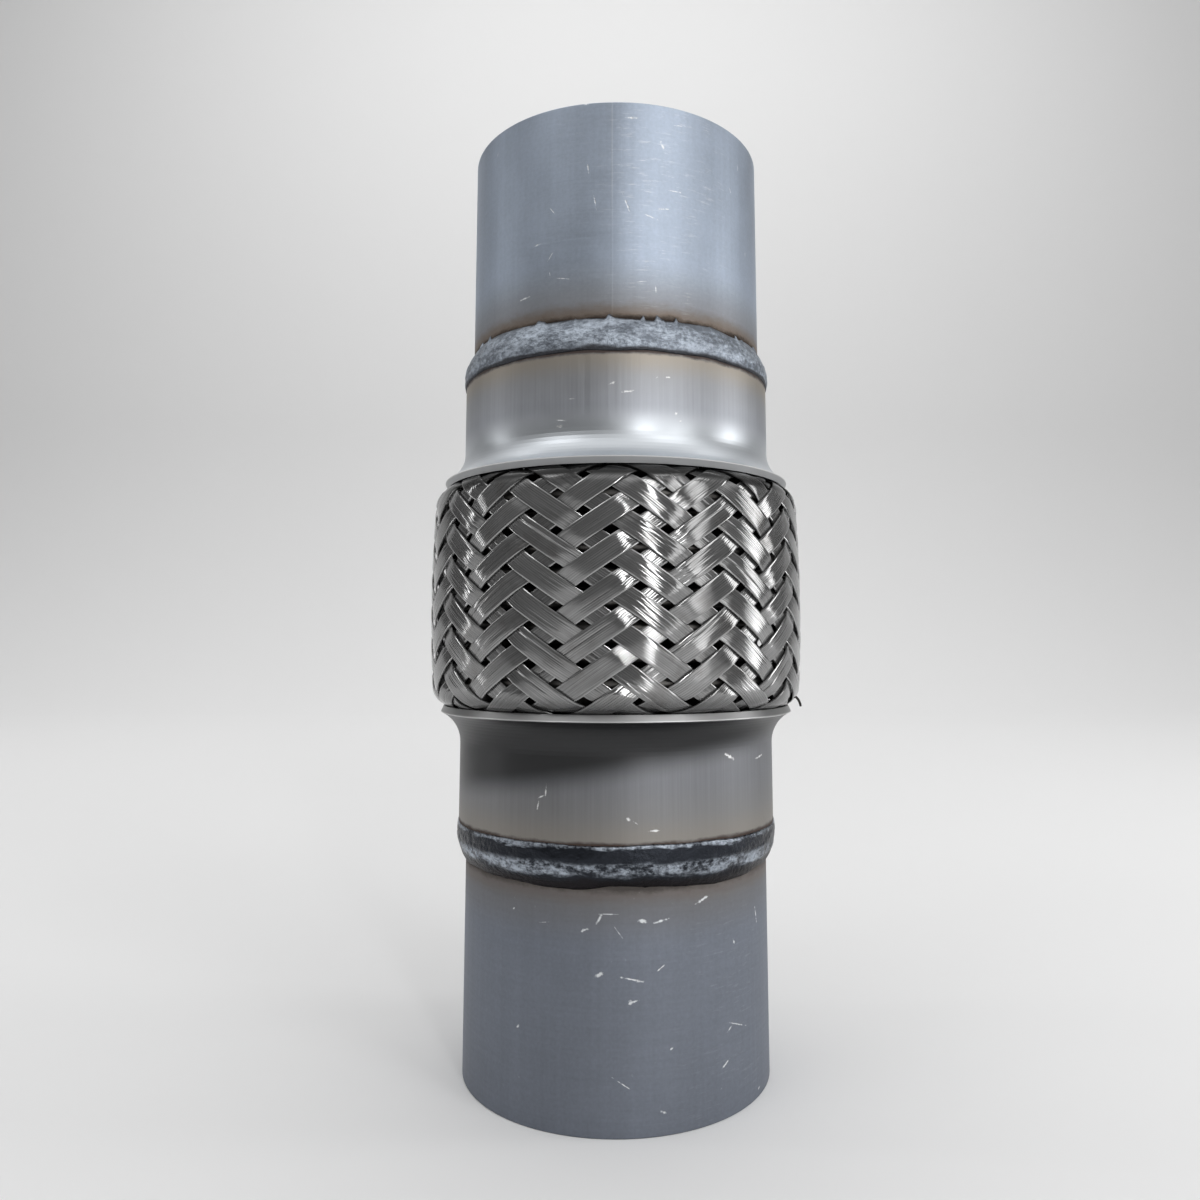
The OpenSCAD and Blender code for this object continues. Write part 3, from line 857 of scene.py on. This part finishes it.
def collar_steel(name, colour, toe, way, marks, straw_share, flare, rim, lean):
    """Pressed stainless, brushed along the pipe, straw-tinted beside the weld.

    toe is the height of the bead's edge on the collar, way is 1 where the collar runs up from it,
    and straw_share is the strength of the tint. The flare is smoother from the press and painted
    with flare, whose edge leans off to the right by lean: a painted highlight on the upper collar
    and painted shade on the lower. The rim's cut face, from the rim's distance off the toe, is
    painted with rim, painted shade on the upper collar, with a painted highlight along its edge.
    """
    paint = Paint(name)
    rim_off = abs(toe - middle) - collar_end + COLLAR_LENGTH
    height = paint.axis("Z")
    off_bead = (height - toe) * way
    cloud = paint.noise((45, 45, 60), 4.0, 0.6)
    # Pressed, smoother flare, painted: highlight on the upper collar, shade on the lower
    pressed_and_painted_flare = (off_bead - lean * paint.axis("X")).between(*FLARE_PRESS_AND_PAINT)
    brush = paint.noise((1500, 1500, 22), 3.0, 0.65) * (1 - pressed_and_painted_flare) + pressed_and_painted_flare * 0.5
    ragged = off_bead + (paint.noise((180, 180, 420), 4.0, 0.7) - 0.5) * COLLAR_RAGGED
    scorch = 1 - ragged.between(*SCORCH_FADE)
    straw = (1 - ragged.between(*STRAW_FADE)) * (1 - scorch)
    haze = 1 - off_bead.between(*COLLAR_HAZE_FADE)
    cut = off_bead.between(rim_off - CUT_EDGE, rim_off + CUT_EDGE)
    # Painted highlight: a thin light line along the edge of the rim's cut face
    rim_glint = 1 - abs(off_bead - rim_off).between(*RIM_HIGHLIGHT_EDGE)
    rubbed = all_marks(paint, paint.unrolled(collar_r), collar_r, marks)
    shade = (cloud - 0.5) * 0.7 + (brush - 0.5) * 0.9 + 0.5
    body = paint.mix(shade, *shades(colour, COLLAR_CONTRAST))
    body = paint.mix(haze * 0.35, body, COLLAR_HAZE)
    body = paint.mix(straw * straw_share, body, STRAW)
    body = paint.mix(scorch * 0.85, body, SCORCH)
    body = paint.mix(pressed_and_painted_flare * 0.9, body, flare)
    # The rim's cut face: on the upper collar its colour is painted shade on the downward face
    body = paint.mix(cut * (0.6 + 0.4 * cloud), body, rim)
    body = paint.mix(rim_glint * 0.85, body, RIM_EDGE_HIGHLIGHT)
    body = paint.mix(rubbed, body, RUBBED_COLLAR)
    paint.set("Base Color", body)
    roughness = 0.52 + (cloud - 0.5) * 0.14 + (brush - 0.5) * 0.16 + scorch * 0.15
    paint.set("Roughness", roughness - pressed_and_painted_flare * 0.14)
    paint.bump(brush * 0.5 - rubbed * 0.6, depth=0.04)
    return paint


def braid_wire():
    """Bright drawn wire: streaks and grooves along each strip, changes of tone, edge highlights.

    The strips' edges carry a painted highlight. Painted shadow blackens the wire where it
    comes out from under the upper collar, and painted shade darkens it beside the lower one.
    """
    paint = Paint("bright_wire")
    strip = paint.node("ShaderNodeUVMap", {"uv_map": "strip"})
    streak = paint.noise((11, 560, 1), 3.0, 0.6, strip)
    tone = paint.noise((9, 24, 1), 2.0, 0.5, strip)
    stain = paint.noise((160, 160, 160), 3.0, 0.6).between(0.5, 0.75)
    shade = (streak - 0.5) * 1.3 + (tone - 0.5) * 0.9 + 0.5
    body = paint.mix(shade, WIRE_DARK, WIRE_LIGHT)
    body = paint.mix(stain * 0.35, body, WIRE_STAIN)
    share = (paint.node("ShaderNodeSeparateXYZ", None, {0: strip}, "Y") * STRIPS).math("FRACT")
    groove = abs((share * (MAP_STEPS / 2) - 0.5).math("FRACT") - 0.5).between(0.32, 0.48)
    body = paint.mix(groove * tone.between(0.3, 0.6) * 0.5, body, WIRE_GROOVE)
    # Painted highlight: the strips' outermost wires are lightened along their edges
    off_middle = abs(share - (WIRES + 1) / MAP_STEPS)
    edge_highlight = off_middle.between((WIRES - 1) / MAP_STEPS, WIRES / MAP_STEPS)
    body = paint.mix(edge_highlight * 0.5, body, WIRE_EDGE_HIGHLIGHT)
    out = paint.axis("Z") - middle
    # Painted shadow: the wire blackened where it comes out from under the upper collar's rim
    painted_rim_shadow = out.between(leave_out - RIM_SHADOW_BAND[0], leave_out - RIM_SHADOW_BAND[1])
    # Painted shade: the wire darkened towards the lower collar's mouth
    painted_lower_shade = (0 - out).between(crown_out, leave_out)
    body = paint.mix(painted_rim_shadow * 0.96, body, WIRE_RIM_SHADOW)
    body = paint.mix(painted_lower_shade * 0.6, body, WIRE_LOWER_SHADE)
    paint.set("Base Color", body)
    paint.set("Metallic", 0.72)
    paint.set("Roughness", 0.09 + (streak - 0.5) * 0.03 + stain * 0.08)
    return paint


def weld_metal(name, dark, light, roughness, highlight_bands, shadow_bands):
    """Weld metal: crystalline grains over slow flow marks, in bands of painted highlight and
    shadow.

    Each band is its middle and half width, across the bead from 0 on the tube to 1 on the collar.
    """
    paint = Paint(name)
    bead = paint.node("ShaderNodeUVMap", {"uv_map": "bead"})
    across = paint.node("ShaderNodeSeparateXYZ", None, {0: bead}, "Y")
    flow = paint.noise((120, 120, 420), 4.0, 0.65)
    fine = paint.noise((900, 900, 1300), 3.0, 0.7)
    wander = across + (flow - 0.5) * 0.35

    def in_bands(bands):
        masks = [1 - abs(wander - place).between(0.35 * half, half) for place, half in bands]
        return sum(masks[1:], masks[0])

    crust = (flow - 0.5) * 1.8 + (fine - 0.5) * 1.6 + 0.5
    # Painted highlights: light grains only within the highlight bands, the dark colour elsewhere
    body = paint.mix(crust.between(0.15, 0.95) * in_bands(highlight_bands), dark, light)
    # Painted shadow in a band along the bead's lower edge
    painted_weld_shadow = in_bands(shadow_bands)
    body = paint.mix(painted_weld_shadow * 0.85, body, WELD_SHADOW)
    paint.set("Base Color", body)
    paint.set("Roughness", roughness + (fine - 0.5) * 0.3 + painted_weld_shadow * 0.1)
    paint.bump(fine * 0.7 + flow * 0.6, depth=0.35)
    return paint


def inner_sheet(name, level):
    """Thin stainless sheet, dulled and browned by the gas that it carries."""
    paint = Paint(name)
    cloud = paint.noise((90, 90, 60), 4.0, 0.6)
    streak = paint.noise((300, 300, 900), 3.0)
    body = paint.mix(cloud, grey(0.6 * level, 0.08), grey(1.3 * level, 0.03))
    paint.set("Base Color", body)
    paint.set("Roughness", 0.42 + (streak - 0.5) * 0.2)
    paint.bump(streak, depth=0.03)
    return paint


def dress(node, paint):
    """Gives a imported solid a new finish."""
    nodes[node].material_slots[0].material = paint.material


def bend_between_collars(piece):
    """Bakes a flexible piece's placement into its mesh."""
    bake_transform(piece)


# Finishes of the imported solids
dress("upper_extension_tube", tube_steel(
    "satin_upper_steel", (0.40, 0.455, 0.54), upper_bead_high - UPPER_TOES[0], 1,
    UPPER_TUBE_MARKS, matt=0.5, sooty=0.8, worn=20, scuffed=0.45, seam=-1.4
))
# Lower tube: its steel colour is painted darker than the upper tube's, as painted shade
dress("lower_extension_tube", tube_steel(
    "satin_lower_steel", (0.215, 0.235, 0.275), lower_bead_low + LOWER_TOES[0], -1,
    LOWER_TUBE_MARKS, matt=0.6, sooty=0.2, worn=45, scuffed=0.09
))
# Upper collar: the flare colour is a painted highlight, the rim colour painted shade
dress("upper_collar", collar_steel(
    "upper_collar_stainless", (0.40, 0.415, 0.45), upper_bead_low + UPPER_TOES[1], -1,
    UPPER_COLLAR_MARKS, straw_share=0.55, flare=grey(0.66, -0.05), rim=grey(0.24), lean=0.0
))
# Lower collar: painted shade in its darker steel colour and in its near-black flare
dress("lower_collar", collar_steel(
    "lower_collar_stainless", (0.225, 0.23, 0.245), lower_bead_high - LOWER_TOES[1], 1,
    LOWER_COLLAR_MARKS, straw_share=0.2, flare=grey(0.03), rim=grey(0.38), lean=0.16
))

# Woven braid, beads, bellows and liner
wire_paint = braid_wire()
rising = woven_strips("braid_rising_strips", 1, wire_paint, seed=11)
falling = woven_strips("braid_falling_strips", -1, wire_paint, seed=12)
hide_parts("outer_braid")
bend_between_collars(loose_wire(inner_sheet("broken_wire", level=0.05)))
bend_between_collars(rising)
bend_between_collars(falling)
bend_between_collars(corrugated_bellows(inner_sheet("bellows_sheet", level=0.10)))
bend_between_collars(wound_liner(inner_sheet("liner_sheet", level=0.34)))

# Upper weld: a broad painted highlight band, and painted shadow along its lower edge on the collar
grey_weld = weld_metal(
    "grey_weld_crust", dark=(0.16, 0.18, 0.21, 1.0), light=(0.50, 0.555, 0.63, 1.0),
    roughness=0.46, highlight_bands=[(0.52, 0.72)], shadow_bands=[(1.0, 0.15)]
)
upper_bead = weld_bead(
    "upper_bead_metal", 1, grey_weld, UPPER_TOES, wave=0.35, spike=3.0, seed=21
)
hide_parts("upper_weld_bead")
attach(upper_bead, "upper_end")
# Lower weld: painted highlights at its upper edge and middle, painted shadow along its lower edge
dark_weld = weld_metal(
    "dark_weld_crust", dark=(0.028, 0.031, 0.038, 1.0), light=(0.46, 0.51, 0.58, 1.0),
    roughness=0.34, highlight_bands=[(0.97, 0.09), (0.44, 0.2)], shadow_bands=[(0.04, 0.24)]
)
lower_bead = weld_bead(
    "lower_bead_metal", -1, dark_weld, LOWER_TOES, wave=0.6, spike=0.4, seed=31
)
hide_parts("lower_weld_bead")
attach(lower_bead, "lower_end")


def pale_stage():
    """A pale floor that sweeps up into a backdrop: flat, a quarter arc, then a straight wall."""
    half_width = 2.4
    front = -2.0
    bend_start = 1.0
    bend = 0.5
    wall_top = 2.2
    bend_points = 17
    arc = np.linspace(0, math.pi / 2, bend_points)
    y = np.concatenate([[front], bend_start + bend * np.sin(arc), [bend_start + bend]])
    z = np.concatenate([[0.0], bend * (1 - np.cos(arc)), [wall_top]])
    x = np.array([-half_width, half_width])
    points = np.stack(np.broadcast_arrays(x[:, None], y[None, :], z[None, :]), -1)
    numbers, _ = grid_faces(2, len(y))
    paint = Paint("pale_paper")
    paint.set("Metallic", 0.0)
    paint.set("Base Color", grey(0.82))
    paint.set("Roughness", 0.9)
    paint.set("Specular IOR Level", 0.1)
    floor = new_object("pale_floor", points, numbers[:, ::-1].tolist(), paint)


def hang_lamp(name, place, facing, width, tall, radiance):
    """A rectangular lamp at a place, facing a way. Its power is radiance times area times pi."""
    lamp = bpy.data.lights.new(name, "AREA")
    lamp.shape = "RECTANGLE"
    lamp.size = width
    lamp.size_y = tall
    lamp.energy = radiance * width * tall * math.pi
    box = bpy.data.objects.new(name, lamp)
    box.location = place
    box.rotation_euler = facing.to_track_quat("-Z", "Y").to_euler()
    box.visible_camera = False
    bpy.context.scene.collection.objects.link(box)


def soft_box(name, turn, rise, distance, width, tall, radiance):
    """A lamp that faces the pipe's middle from a turn and a rise, in degrees, at a distance."""
    turn = math.radians(turn)
    rise = math.radians(rise)
    level = math.cos(rise)
    away = Vector((math.sin(turn) * level, -math.cos(turn) * level, math.sin(rise)))
    hang_lamp(name, Vector((0, 0, middle * MM)) + away * distance, -away, width, tall, radiance)


def room_light(below, above):
    """A grey room: one level up to a little above the horizon, and another, brighter, overhead."""
    world = bpy.data.worlds.new("grey_room")
    bpy.context.scene.world = world
    world.use_nodes = True
    dim_up_to = 0.42
    bright_from = 0.85
    room = Graph(world.node_tree)
    direction = room.node("ShaderNodeTexCoord", output="Generated")
    up = room.node("ShaderNodeSeparateXYZ", None, {0: direction}, "Z")
    ends = {"From Min": dim_up_to, "From Max": bright_from, "To Min": below, "To Max": above}
    smooth = {"interpolation_type": "SMOOTHSTEP"}
    level = room.node("ShaderNodeMapRange", smooth, {"Value": up, **ends})
    room.feed(room.tree.nodes["Background"].inputs["Color"], level)


def front_camera():
    """The photograph's view: close in front of the pipe, tilted up a little."""
    lens = bpy.data.cameras.new("front_camera")
    lens.sensor_fit = "HORIZONTAL"
    lens.sensor_width = 36.0
    lens.lens = 28.211
    lens.shift_x = -0.0133
    lens.shift_y = -0.05
    lens.clip_start = 0.01
    camera = bpy.data.objects.new("front_camera", lens)
    camera.location = (0.0, -0.2176, 0.09027)
    camera.rotation_euler = (math.radians(96.45), 0.0, 0.0)
    bpy.context.scene.collection.objects.link(camera)
    bpy.context.scene.camera = camera


# Lamps round the pipe: turn, rise, distance, width, height and radiance
LAMPS = {
    "window_box": (20, 6, 0.8, 0.06, 0.8, 11.5),
    "broad_box": (46, 10, 0.9, 0.2, 0.9, 2.6),
    "right_box": (90, 10, 0.8, 0.19, 0.5, 4.4),
    "left_box": (-93, 12, 0.8, 0.05, 0.6, 5.2),
    "left_top_box": (-50, 48, 0.8, 0.3, 0.16, 2.5),
    "right_top_box": (44, 46, 0.8, 0.4, 0.14, 2.5),
}
BACKDROP_LAMP_PLACE = Vector((0.0, 0.5, 1.5))
BACKDROP_LAMP_FACING = Vector((0.0, 1.0, -0.6))

pale_stage()
for lamp_name, lamp_numbers in LAMPS.items():
    soft_box(lamp_name, *lamp_numbers)
hang_lamp(
    "backdrop_box", BACKDROP_LAMP_PLACE, BACKDROP_LAMP_FACING, width=1.8, tall=0.5, radiance=3.5
)
room_light(below=0.1, above=1.0)
front_camera()
bpy.context.scene.view_settings.view_transform = "Standard"
